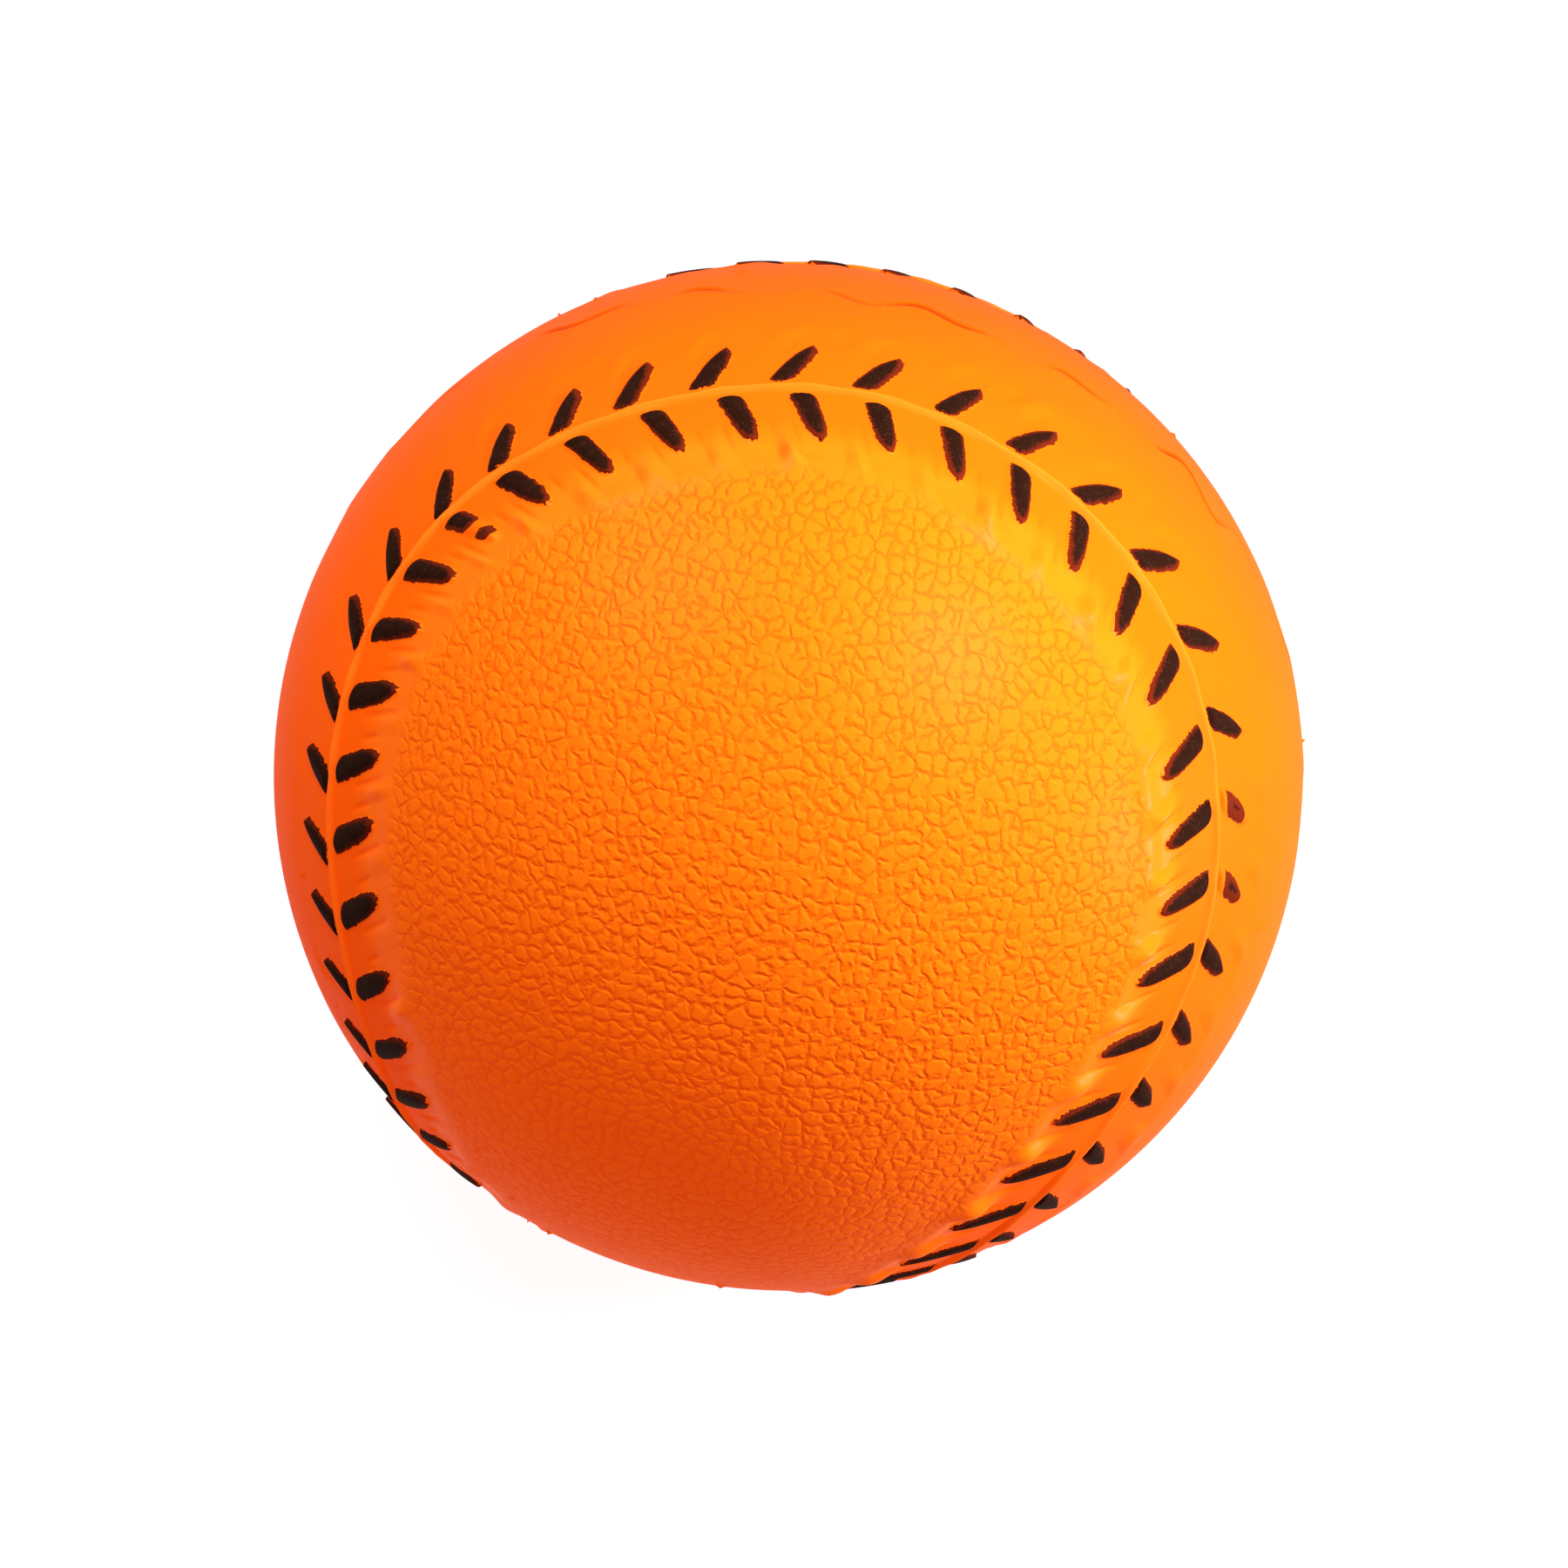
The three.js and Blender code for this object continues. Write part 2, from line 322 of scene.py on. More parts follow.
# Brushed paint: fine specks, and the blotches that they gather in
SPECK_SIZE = 0.16
SPECK_RISE = (0.46, 0.66)
SPECK_HEIGHT = 0.03
BLOTCH_SIZE = 0.6
BLOTCH_RISE = (0.35, 0.65)
DUST_SHARE = 0.8
PAINT_ROUGHNESS = 0.62
SPECK_ROUGHNESS = 0.2
PAINT_SHINE = 0.02

# Where paint lets the skin show: what a speck adds to how thin it is, and what distance from its edge takes
STARVED_SPECK = 0.6
STARVED_EDGE = 1.5
STARVED_RISE = (0.0, 0.5)

random = np.random.default_rng(SEED)


def normalised(vectors):
    return vectors / np.linalg.norm(vectors, axis=-1, keepdims=True)


def dot(first, second):
    return np.einsum("...i,...i->...", first, second)


def smooth_step(low, high, value):
    share = np.clip((value - low) / (high - low), 0, 1)
    return share * share * (3 - 2 * share)


# Seam line

def seam_curve(turn):
    """The seam's even line on a ball of radius 1, where turn goes once round it from 0 to 1."""
    angle = 2 * np.pi * np.asarray(turn)
    return normalised(np.stack([
        np.cos(angle) - LOOP_ROUNDNESS * np.cos(3 * angle),
        -np.sin(angle) - LOOP_ROUNDNESS * np.sin(3 * angle),
        -LOOP_CLIMB * np.cos(2 * angle),
    ], axis=-1))


seam_turns = np.linspace(0, 1, SEAM_SAMPLES + 1)
seam_points = seam_curve(seam_turns)
seam_steps = np.arccos(np.clip(dot(seam_points[1:], seam_points[:-1]), -1, 1)) * BALL_RADIUS
seam_travel = np.concatenate([[0], np.cumsum(seam_steps)])
seam_length = seam_travel[-1]
stitch_pitch = seam_length / STITCH_PAIRS


def seam_frame(turn):
    """The seam's outward, forward and sideways directions."""
    outward = seam_curve(turn)
    along = normalised(seam_curve(turn + TURN_STEP) - seam_curve(turn - TURN_STEP))
    return outward, along, np.cross(outward, along)


def waves_at(share, waves):
    """The sum of some waves at a share of the way round the seam."""
    return sum(
        size * np.sin(2 * np.pi * count * share + math.radians(start)) for size, count, start in waves
    )


def at_back(share):
    """1 in the middle of the back loop's strayed length, and 0 away from it."""
    return np.exp(-(((share - BACK_SHARE) / BACK_SPREAD) ** 2))


def seam_wander(travel):
    """How far the seam strays from its even line."""
    share = travel / seam_length % 1
    return waves_at(share, SEAM_WAVES) + BACK_SHIFT * at_back(share)


def seam_coordinates(directions):
    """Travel along the seam and offset from it, which is over 0 on the front and back loops' side."""
    batches = np.array_split(directions.astype(np.float32), len(directions) // PLACES_AT_ONCE + 1)
    samples = seam_points[:-1].astype(np.float32).T
    nearest = np.concatenate([np.argmax(batch @ samples, axis=1) for batch in batches])
    turn = nearest / SEAM_SAMPLES
    for _ in range(3):
        steps = (-TURN_STEP, 0, TURN_STEP)
        before, here, after = (dot(directions, seam_curve(turn + step)) for step in steps)
        slope = (after - before) / (2 * TURN_STEP)
        bend = np.minimum((after - 2 * here + before) / TURN_STEP**2, -1)
        turn = turn - np.clip(slope / bend, -TURN_STEP, TURN_STEP)
    outward, _, side = seam_frame(turn)
    offset = np.arctan2(dot(directions, side), dot(directions, outward)) * BALL_RADIUS
    travel = np.interp(turn % 1, seam_turns, seam_travel)
    return travel, offset - seam_wander(travel)


def direction_beside(travel, offset):
    """The direction from the ball's centre at a travel along the seam and an offset from it."""
    outward, _, side = seam_frame(np.interp(travel % seam_length, seam_travel, seam_turns))
    bend = ((offset + seam_wander(travel)) / BALL_RADIUS)[..., None]
    return outward * np.cos(bend) + side * np.sin(bend)


def seam_waves(least, most, count=5):
    """An uneven wave along the whole seam, from about -1 to 1, that closes on itself."""
    turns = random.integers(least, most, count)
    starts = random.uniform(0, 2 * np.pi, count)

    def wave(travel):
        phase = np.multiply.outer(travel / seam_length, turns) * 2 * np.pi + starts
        return np.sin(phase).sum(axis=-1) / math.sqrt(count)

    return wave


rib_wander = seam_waves(40, 110)
rib_strength = seam_waves(30, 160)
pleat_strength = seam_waves(20, 80)
flash_wander = seam_waves(12, 48)
flash_strength = seam_waves(8, 50)


# Stitches, each a little uneven like the mould's

class StitchRow:
    """The stitches on one side of the seam, where each lies and how the skin rises round them."""

    def __init__(self, name, side, reach, longer, width, slant, stagger, pleat, waves):
        self.name, self.side, self.pleat = name, side, pleat
        pairs = np.arange(STITCH_PAIRS)
        drift = SPACING_DRIFT * np.sin(DRIFT_WAVES * 2 * np.pi * pairs / STITCH_PAIRS)
        uneven = random.uniform(-1, 1, (4, STITCH_PAIRS))
        beside = np.cos(LOOP_SIDES * 2 * np.pi * (pairs - SIDE_PAIR) / STITCH_PAIRS)
        self.middle = (pairs + FIRST_STITCH_PITCHES) * stitch_pitch - drift + stagger
        self.middle += UNEVEN_PLACE * uneven[0]
        self.middle += waves_at(pairs / STITCH_PAIRS, waves) + BACK_SLIP * at_back(pairs / STITCH_PAIRS)
        self.reach = reach + longer * beside + UNEVEN_REACH * uneven[1]
        self.width = width * (1 + SIDE_WIDENING * beside + UNEVEN_WIDTH * uneven[2])
        self.slant = np.radians(slant + UNEVEN_SLANT * uneven[3])
        self.centre = (STITCH_NEAR + reach) / 2

    def nearest(self, travel, distance):
        """Which stitch is closest, and the travel from its middle."""
        leaned = (travel + (distance - self.centre) * math.tan(STITCH_SLANT)) % seam_length
        looped = np.concatenate([self.middle - seam_length, self.middle, self.middle + seam_length])
        pair = np.searchsorted((looped[1:] + looped[:-1]) / 2, leaned) % STITCH_PAIRS
        shift = travel - self.middle[pair]
        return pair, shift - seam_length * np.round(shift / seam_length)

    def half_width(self, pair, share):
        """Half the stitch's width, from share 0 at the rib to 1 at its tip."""
        taper = np.clip((share - TAPER_START) / (1 - TAPER_START), 0, 1)
        corner = np.sqrt(1 - np.clip(1 - share / CORNER_SHARE, 0, 1) ** 2)
        inside = (share >= 0) & (share <= 1)
        outline = (CORNER_WIDTH + (1 - CORNER_WIDTH) * corner) * np.sqrt(1 - taper**3)
        return inside * self.width[pair] / 2 * (1 - FLANK_TAPER * share) * outline

    def relief(self, travel, distance):
        """The raised stitches and the pleats round them."""
        pair, shift = self.nearest(travel, distance)
        slant, beyond = self.slant[pair], distance - self.centre
        along = beyond * np.cos(slant) - shift * np.sin(slant)
        across = shift * np.cos(slant) + beyond * np.sin(slant)
        tip = (self.reach[pair] - self.centre) / np.cos(slant)
        share = (distance - STITCH_NEAR) / (self.reach[pair] - STITCH_NEAR)
        half = np.maximum(self.half_width(pair, share), 1e-3)
        crown = STITCH_CROWN * np.clip(1 - (across / half) ** 2, 0, 1) * smooth_step(0, CROWN_START, share)
        past_tip = np.maximum(along - tip + self.width[pair] / 4, 0)
        from_stitch = np.hypot(across, past_tip * POCKET_OPENING)
        wall = np.sin(np.pi / 2 * np.clip((from_stitch - POCKET_RADIUS) / POCKET_WALL, 0, 1))
        wall = wall + (1 - wall) * smooth_step(*POCKET_END, distance)
        bulge = PLEAT_BULGE * np.exp(-(((distance - PLEAT_CREST) / PLEAT_SPREAD) ** 2))
        sway = np.cos(2 * np.pi * PLEAT_TIMES * (travel / seam_length - PLEAT_PAIR / STITCH_PAIRS))
        bulge = bulge * (1 - PLEAT_SWAY + PLEAT_SWAY * sway + PLEAT_UNEVEN * pleat_strength(travel))
        swell = PANEL_STEP * smooth_step(*PANEL_RISE, distance) + bulge * smooth_step(*PLEAT_RISE, distance)
        crease = CREASE_DEPTH * np.exp(-(((from_stitch - POCKET_RADIUS) / CREASE_WIDTH) ** 2))
        crease = crease * smooth_step(*CREASE_RISE, distance) * (1 - smooth_step(*CREASE_END, along - tip))
        return crown + self.pleat * (wall * swell - crease)


rows = [StitchRow(**row) for row in STITCH_ROWS]


def skin_height(travel, offset, directions):
    """How far the skin's outer face stands over the band beside the seam."""
    distance = np.abs(offset)
    from_rib = offset + RIB_WANDER * rib_wander(travel)
    rib = RIB_HEIGHT * (1 + RIB_UNEVEN * rib_strength(travel)) * np.exp(-((from_rib / RIB_HALF_WIDTH) ** 2))
    near, far = (row.relief(travel, distance) for row in rows)
    side_rise = PANEL_STEP * (1 - rows[1].pleat) * smooth_step(*SIDE_PANEL_RISE, distance)
    height = rib + np.where(offset > 0, near, far + side_rise)
    ridge, crease = parting_relief(directions, distance)
    return height + FLASH_HEIGHT * ridge - FLASH_CREASE * crease


def swayed(strength, mean, sway, least, most):
    """A strength that comes and goes, within its limits."""
    return np.clip(mean + sway * strength, least, most)


def travel_round_parting(directions):
    """A travel round the parting plane, as long in all as the seam's."""
    return np.arctan2(directions[..., 2], directions[..., 0]) / (2 * np.pi) * seam_length


def parting_relief(directions, distance):
    """The flash's ridge and the crease in it, which come and go and stay clear of the stitches."""
    from_parting = np.abs(directions[..., 1]) * BALL_RADIUS
    clear = smooth_step(*FLASH_RISE, distance)
    ridge = np.exp(-((from_parting / FLASH_WIDTH) ** 2)) * clear
    crease = np.exp(-((from_parting / FLASH_CREASE_WIDTH) ** 2)) * clear
    strength = flash_strength(travel_round_parting(directions))
    return ridge * swayed(strength, *RIDGE_SWAY), crease * swayed(strength, *CREASE_SWAY)


# Nodes

def is_vector(term):
    return isinstance(term, tuple) or (isinstance(term, Socket) and term.socket.type in {"VECTOR", "RGBA"})


class Socket:
    """A node's output that adds Math or Vector Math nodes when it is used in an expression."""

    def __init__(self, graph, socket):
        self.graph, self.socket = graph, socket

    def combine(self, operation, first, second):
        if not (is_vector(first) or is_vector(second)):
            return self.graph.node("ShaderNodeMath", {"operation": operation}, {0: first, 1: second})
        terms = [(term,) * 3 if isinstance(term, (int, float)) else term for term in (first, second)]
        return self.graph.node("ShaderNodeVectorMath", {"operation": operation}, dict(enumerate(terms)))

    def __add__(self, other):
        return self.combine("ADD", self, other)

    def __radd__(self, other):
        return self.combine("ADD", other, self)

    def __sub__(self, other):
        return self.combine("SUBTRACT", self, other)

    def __rsub__(self, other):
        return self.combine("SUBTRACT", other, self)

    def __mul__(self, other):
        return self.combine("MULTIPLY", self, other)

    def __rmul__(self, other):
        return self.combine("MULTIPLY", other, self)


class Graph:
    """A node tree of a material, of the world or of a sampler."""

    def __init__(self, tree):
        self.tree = tree

    def node(self, kind, settings=None, sockets=None, output=0):
        """One of a new node's outputs, after its settings and then its sockets' values or links."""
        made = self.tree.nodes.new(kind)
        for name, value in (settings or {}).items():
            setattr(made, name, value)
        for name, value in (sockets or {}).items():
            if isinstance(value, Socket):
                self.tree.links.new(value.socket, made.inputs[name])
            else:
                made.inputs[name].default_value = value
        return Socket(self, made.outputs[output]) if made.outputs else None

    def rise(self, value, low, high):
        """0 below low, 1 above high, and smooth between them."""
        return self.node(
            "ShaderNodeMapRange", {"interpolation_type": "SMOOTHSTEP"},
            {"Value": value, "From Min": low, "From Max": high},
        )

    def noise(self, place, size, detail=2.0, output="Fac"):
        sockets = {"Vector": place, "Scale": 1 / size, "Detail": detail}
        return self.node("ShaderNodeTexNoise", {}, sockets, output)

    def size_of(self, value):
        return self.node("ShaderNodeMath", {"operation": "ABSOLUTE"}, {0: value})

    def split(self, vector):
        parts = self.node("ShaderNodeSeparateXYZ", {}, {0: vector}).socket.node
        return [Socket(self, part) for part in parts.outputs]

    def mix(self, share, first, second):
        """A colour between two others."""
        return self.node(
            "ShaderNodeMix", {"data_type": "RGBA"},
            {0: share, 6: with_alpha(first), 7: with_alpha(second)}, 2,
        )


def with_alpha(colour):
    """A colour as a socket takes it, from three numbers or a link."""
    return (*colour, 1.0) if isinstance(colour, tuple) else colour


def grain_place(graph, place):
    """A place on the ball laid flat without changing areas, and pushed about to bend the cells."""
    push = graph.noise(place, BEND_SIZE, 1.0, "Color") - (0.5, 0.5, 0.5)
    bent = graph.node("ShaderNodeVectorMath", {"operation": "NORMALIZE"}, {0: place + push * BEND})
    x, y, z = graph.split(bent)
    half = graph.node("ShaderNodeMath", {"operation": "SIGN"}, {0: y})
    spread = graph.node("ShaderNodeMath", {"operation": "SQRT"}, {0: 0.5 * graph.size_of(y) + 0.5})
    spread = graph.node("ShaderNodeMath", {"operation": "DIVIDE"}, {0: BALL_RADIUS, 1: spread})
    return graph.node("ShaderNodeCombineXYZ", {}, {"X": x * spread + half * HALVES_APART, "Y": z * spread})


def grain_grooves(graph, place):
    """The leather's grooves, broad as they are deep, and narrow where they take painted shade, with some
    pebbles merged.
    """
    wobble = graph.noise(place, WOBBLE_SIZE, 1.0, "Color") - (0.5, 0.5, 0.5)
    bent = grain_place(graph, place) + wobble * WOBBLE
    settings = {"voronoi_dimensions": "2D", "feature": "DISTANCE_TO_EDGE"}
    sockets = {"Vector": bent, "Scale": 1 / GRAIN_CELL, "Randomness": GRAIN_RANDOMNESS}
    edge = graph.node("ShaderNodeTexVoronoi", settings, sockets, "Distance")
    deep = graph.rise(graph.noise(place, SHALLOW_SIZE, 1.0), *SHALLOW_RISE)
    depth = deep * (1 - SHALLOWEST) + SHALLOWEST
    return (1 - graph.rise(edge, *GROOVE_RISE)) * depth, (1 - graph.rise(edge, *GROOVE_SHADE_RISE)) * depth


def sampled(places, pattern):
    """What a pattern made of nodes gives at each place."""
    mesh = bpy.data.meshes.new("samples")
    mesh.vertices.add(len(places))
    mesh.vertices.foreach_set("co", places.astype(np.float32).ravel())
    tree = bpy.data.node_groups.new("sampler", "GeometryNodeTree")
    tree.interface.new_socket("Geometry", in_out="INPUT", socket_type="NodeSocketGeometry")
    tree.interface.new_socket("Geometry", in_out="OUTPUT", socket_type="NodeSocketGeometry")
    graph = Graph(tree)
    source = graph.node("NodeGroupInput")
    values = pattern(graph, graph.node("GeometryNodeInputPosition"))
    stored = graph.node(
        "GeometryNodeStoreNamedAttribute", {"data_type": "FLOAT", "domain": "POINT"},
        {"Geometry": source, "Name": "sample", "Value": values},
    )
    graph.node("NodeGroupOutput", {}, {0: stored})
    holder = bpy.data.objects.new("samples", mesh)
    bpy.context.scene.collection.objects.link(holder)
    holder.modifiers.new("sampler", "NODES").node_group = tree
    evaluated = holder.evaluated_get(bpy.context.evaluated_depsgraph_get())
    found = np.empty(len(places), np.float32)
    evaluated.data.attributes["sample"].data.foreach_get("value", found)
    bpy.data.objects.remove(holder)
    bpy.data.meshes.remove(mesh)
    bpy.data.node_groups.remove(tree)
    return found


# Meshes

def face_edges(faces):
    """The ends of each edge, once, and the three edges of every face."""
    pairs = np.sort(np.stack([faces, np.roll(faces, -1, axis=1)], axis=-1).reshape(-1, 2), axis=1)
    keys, which = np.unique(pairs[:, 0] * (faces.max() + 1) + pairs[:, 1], return_inverse=True)
    ends = np.stack(np.divmod(keys, faces.max() + 1), axis=1)
    return ends, which.reshape(-1, 3)


def rolled(table, first):
    """Each row of three, turned round so that it starts at its column first."""
    return np.take_along_axis(table, (first[:, None] + np.arange(3)) % 3, axis=1)


def halve_edges(points, faces, middles):
    """Faces with some of their edges halved, at the points that middles names, or -1.

    A face's corners are a, b and c, and the middles of the edges that start there m, n and o.
    """
    halved = middles >= 0
    count = halved.sum(axis=1)
    result = [faces[count == 0]]
    one, two, three = (count == number for number in (1, 2, 3))
    start = np.argmax(halved[one], axis=1)
    (a, b, c), m = rolled(faces[one], start).T, rolled(middles[one], start)[:, 0]
    result += [np.stack([a, m, c], axis=1), np.stack([m, b, c], axis=1)]
    start = np.argmin(halved[two], axis=1) + 1
    (a, b, c), (m, n, _) = rolled(faces[two], start).T, rolled(middles[two], start).T
    short = np.linalg.norm(points[a] - points[n], axis=1) < np.linalg.norm(points[m] - points[c], axis=1)
    result += [np.stack([m, b, n], axis=1)]
    result += [np.stack([a, m, np.where(short, n, c)], axis=1)]
    result += [np.stack([np.where(short, a, m), n, c], axis=1)]
    (a, b, c), (m, n, o) = faces[three].T, middles[three].T
    result += [np.stack(corners, axis=1) for corners in ((a, m, o), (m, b, n), (o, n, c), (m, n, o))]
    return np.concatenate(result)


def ball_mesh(wanted_edge):
    """Directions and triangles all round a ball, as fine as wanted_edge asks for, with edges on y = 0."""
    points = np.array([[1, 0, 0], [-1, 0, 0], [0, 1, 0], [0, -1, 0], [0, 0, 1], [0, 0, -1]], float)
    faces = np.array([
        [0, 2, 4], [2, 1, 4], [1, 3, 4], [3, 0, 4],
        [2, 0, 5], [1, 2, 5], [3, 1, 5], [0, 3, 5],
    ])
    offset = seam_coordinates(points)[1]
    while True:
        ends, edges_of = face_edges(faces)
        length = np.linalg.norm(points[ends[:, 0]] - points[ends[:, 1]], axis=1) * BALL_RADIUS
        middle = normalised(points[ends].sum(axis=1))
        long = length > EDGE_SLACK * wanted_edge(middle, offset[ends].mean(axis=1))
        long |= length > LONGEST_EDGE
        if not long.any():
            return relaxed(points, faces, ends), faces
        names = np.full(len(ends), -1)
        names[long] = len(points) + np.arange(long.sum())
        points = np.concatenate([points, middle[long]])
        offset = np.concatenate([offset, seam_coordinates(middle[long])[1]])
        faces = halve_edges(points, faces, names[edges_of])


def relaxed(points, faces, ends, rounds=4):
    """The points moved over the ball towards the middle of their neighbours, those on y = 0 along it."""
    on_parting = np.abs(points[:, 1]) < ON_PARTING
    from_end, to_end = np.concatenate([ends, ends[:, ::-1]]).T
    parted = on_parting[from_end] & ~on_parting[to_end]
    from_end, to_end = from_end[~parted], to_end[~parted]
    neighbours = np.bincount(from_end, minlength=len(points))[:, None]
    for _ in range(rounds):
        total = np.stack([
            np.bincount(from_end, weights=points[to_end, axis], minlength=len(points)) for axis in range(3)
        ], axis=1)
        points = normalised(points + total / neighbours)
    return points


def make_piece(name, points, faces, materials, body="root"):
    """A piece from points in millimetres."""
    mesh = bpy.data.meshes.new(name)
    mesh.vertices.add(len(points))
    mesh.vertices.foreach_set("co", (points * MM).astype(np.float32).ravel())
    mesh.loops.add(faces.size)
    mesh.loops.foreach_set("vertex_index", faces.astype(np.int32).ravel())
    mesh.polygons.add(len(faces))
    mesh.polygons.foreach_set("loop_start", np.arange(0, faces.size, faces.shape[1], dtype=np.int32))
    mesh.update(calc_edges=True)
    mesh.validate()
    mesh.shade_smooth()
    for material in materials:
        mesh.materials.append(material)
    piece = bpy.data.objects.new(name, mesh)
    bpy.context.scene.collection.objects.link(piece)
    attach(piece, body)
    return piece


def add_values(piece, name, values):
    """Keeps a number for each point of a piece, which its material reads."""
    piece.data.attributes.new(name, "FLOAT", "POINT").data.foreach_set("value", values.astype(np.float32))


def mark_sharp(piece, on_rim):
    """Makes the edges between two points of a rim sharp."""
    ends = np.empty(len(piece.data.edges) * 2, np.int32)
    piece.data.edges.foreach_get("vertices", ends)
    sharp = on_rim[ends.reshape(-1, 2)].all(axis=1)
    piece.data.attributes.new("sharp_edge", "BOOLEAN", "EDGE").data.foreach_set("value", sharp)


def half_of(points, faces, side):
    """One side of the parting plane: its points' names, its faces, and the rim's points in order."""
    kept = faces[side * points[faces, 1].mean(axis=1) > 0]
    used, kept = np.unique(kept, return_inverse=True)
    own = points[used]
    rim = np.flatnonzero(np.abs(own[:, 1]) < ON_PARTING)
    rim = rim[np.argsort(np.arctan2(own[rim, 2], own[rim, 0]))]
    return used, kept.reshape(-1, 3), rim


def join_rims(points, outer, inner, side):
    """Triangles of a flat ring between two rims that have different numbers of points."""
    angles = [np.arctan2(points[rim, 2], points[rim, 0]) for rim in (outer, inner)]
    ends = [np.append(angle, angle[0] + 2 * np.pi) for angle in angles]
    faces, out, into = [], 0, 0
    while out < len(outer) or into < len(inner):
        here = (outer[out % len(outer)], inner[into % len(inner)])
        if into == len(inner) or (out < len(outer) and ends[0][out + 1] < ends[1][into + 1]):
            out += 1
            face = (*here, outer[out % len(outer)])
        else:
            into += 1
            face = (*here, inner[into % len(inner)])
        faces.append(face if side < 0 else face[::-1])
    return np.array(faces)


def skin_edge(middle, offset):
    """The edge length wanted in the skin's mesh."""
    distance = np.abs(offset)
    wanted = np.where(distance < STITCH_REACH, STITCH_EDGE, PANEL_EDGE)
    wanted = np.where(distance < RIB_REACH, RIB_EDGE, wanted)
    at_parting = np.abs(middle[:, 1]) * BALL_RADIUS < PARTING_REACH
    return np.where(at_parting, np.minimum(wanted, RIB_EDGE * PARTING_SHARE), wanted)


def make_skin(material):
    """The two halves of the skin, each a closed shell with its outer face, its lining and a flat rim."""
    directions, faces = ball_mesh(skin_edge)
    travel, offset = seam_coordinates(directions)
    radius = BAND_RADIUS + skin_height(travel, offset, directions)
    points = directions * radius[:, None]
    pull = FLASH_WANDER * flash_wander(travel_round_parting(directions))
    pull = pull * smooth_step(*WANDER_RISE, np.abs(offset))
    points[:, 1] += pull * np.exp(-((points[:, 1] / WANDER_SPREAD) ** 2))
    # The crease's mask, kept for the painted shade along it
    crease = parting_relief(directions, np.abs(offset))[1]
    lining_points, lining_faces = ball_mesh(lambda middle, offset: np.full(len(middle), INNER_EDGE))
    lining_points = lining_points * (BALL_RADIUS - SKIN_THICKNESS)
    halves = (("skin_front", -1, "skin_front_half"), ("skin_back", 1, "skin_back_half"))
    for name, side, node in halves:
        outer_used, outer_faces, outer_rim = half_of(directions, faces, side)
        inner_used, inner_faces, inner_rim = half_of(lining_points, lining_faces, side)
        first = len(outer_used)
        half = np.concatenate([points[outer_used], lining_points[inner_used]])
        half[:, 1] += side * PARTING_GAP / 2
        ring = join_rims(half, outer_rim, inner_rim + first, side)
        all_faces = np.concatenate([outer_faces, inner_faces[:, ::-1] + first, ring])
        piece = make_piece(name, half, all_faces, [material])
        lining = np.zeros(len(inner_used))
        add_values(piece, "seam_offset", np.concatenate([offset[outer_used], lining]))
        add_values(piece, "parting_crease_shade", np.concatenate([crease[outer_used], lining]))
        on_rim = np.zeros(len(half), bool)
        on_rim[outer_rim] = True
        on_rim[inner_rim + first] = True
        mark_sharp(piece, on_rim)
        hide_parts(node)


# Paint

def ragged(count):
    """An uneven edge, rough from point to point and with longer waves under it."""
    rough = random.normal(0, 1, count)
    loose = random.normal(0, 1, count + WAVE_POINTS - 1)
    waves = np.convolve(loose, np.ones(WAVE_POINTS) / WAVE_POINTS, "valid")
    return PAINT_RAGGED * (ROUGH_SHARE * rough + WAVE_SHARE * waves)


def round_end(share):
    """The width of a film's round end, from nearly 0 at share 1 to 1 at share 0."""
    return np.sqrt(np.clip(1 - np.clip(share, 0, 1) ** 3, ROUND_LEAST, 1))


def paint_film(row, pair, span):
    """Travel, distance, share along the stitch and distance to the paint's edge, for a grid of points."""
    along = np.linspace(0, 1, PAINT_STEPS_ALONG + 1)[:, None]
    across = np.linspace(-1, 1, PAINT_STEPS_ACROSS + 1)[None, :]
    share = span[0] + (span[1] - span[0]) * along
    length = row.reach[pair] - STITCH_NEAR
    distance = STITCH_NEAR + length * share + 0 * across
    distance += ragged(PAINT_STEPS_ACROSS + 1) * np.abs(2 * along - 1) ** 6
    closing = 1 if span[1] == 1 else round_end((along - (1 - CLOSING_SHARE)) / CLOSING_SHARE)
    opening = 1 if span[0] == 0 else round_end((OPENING_SHARE - along) / OPENING_SHARE)
    half = row.half_width(pair, np.clip(share, 0, LAST_SHARE)) * opening * closing
    left, right = (half[:, 0] + ragged(len(half)) * (half[:, 0] > RAGGED_LEAST) for _ in range(2))
    width = np.where(across < 0, left[:, None], right[:, None])
    lean = (distance - row.centre) * np.tan(row.slant[pair])
    travel = row.middle[pair] - lean + across * width / np.cos(row.slant[pair])
    cover = ROOT_COVER if span[0] == 0 else 0
    from_end = np.minimum(along + cover, 1 - along) * length * (span[1] - span[0])
    from_edge = np.minimum((1 - np.abs(across)) * width, from_end)
    return travel, distance, share + 0 * across, from_edge


def grid_faces(rows_count, columns, upward):
    """The four-sided faces of a grid of points."""
    corner = np.arange((rows_count - 1) * columns).reshape(rows_count - 1, columns)[:, :-1].ravel()
    quads = np.stack([corner, corner + columns, corner + columns + 1, corner + 1], axis=1)
    return quads if upward else quads[:, ::-1]


def grid_rim(rows_count, columns):
    """The points round a grid, in order."""
    top = np.arange(columns)
    right = np.arange(1, rows_count) * columns + columns - 1
    bottom = (rows_count - 1) * columns + np.arange(columns - 2, -1, -1)
    left = np.arange(rows_count - 2, 0, -1) * columns
    return np.concatenate([top, right, bottom, left])


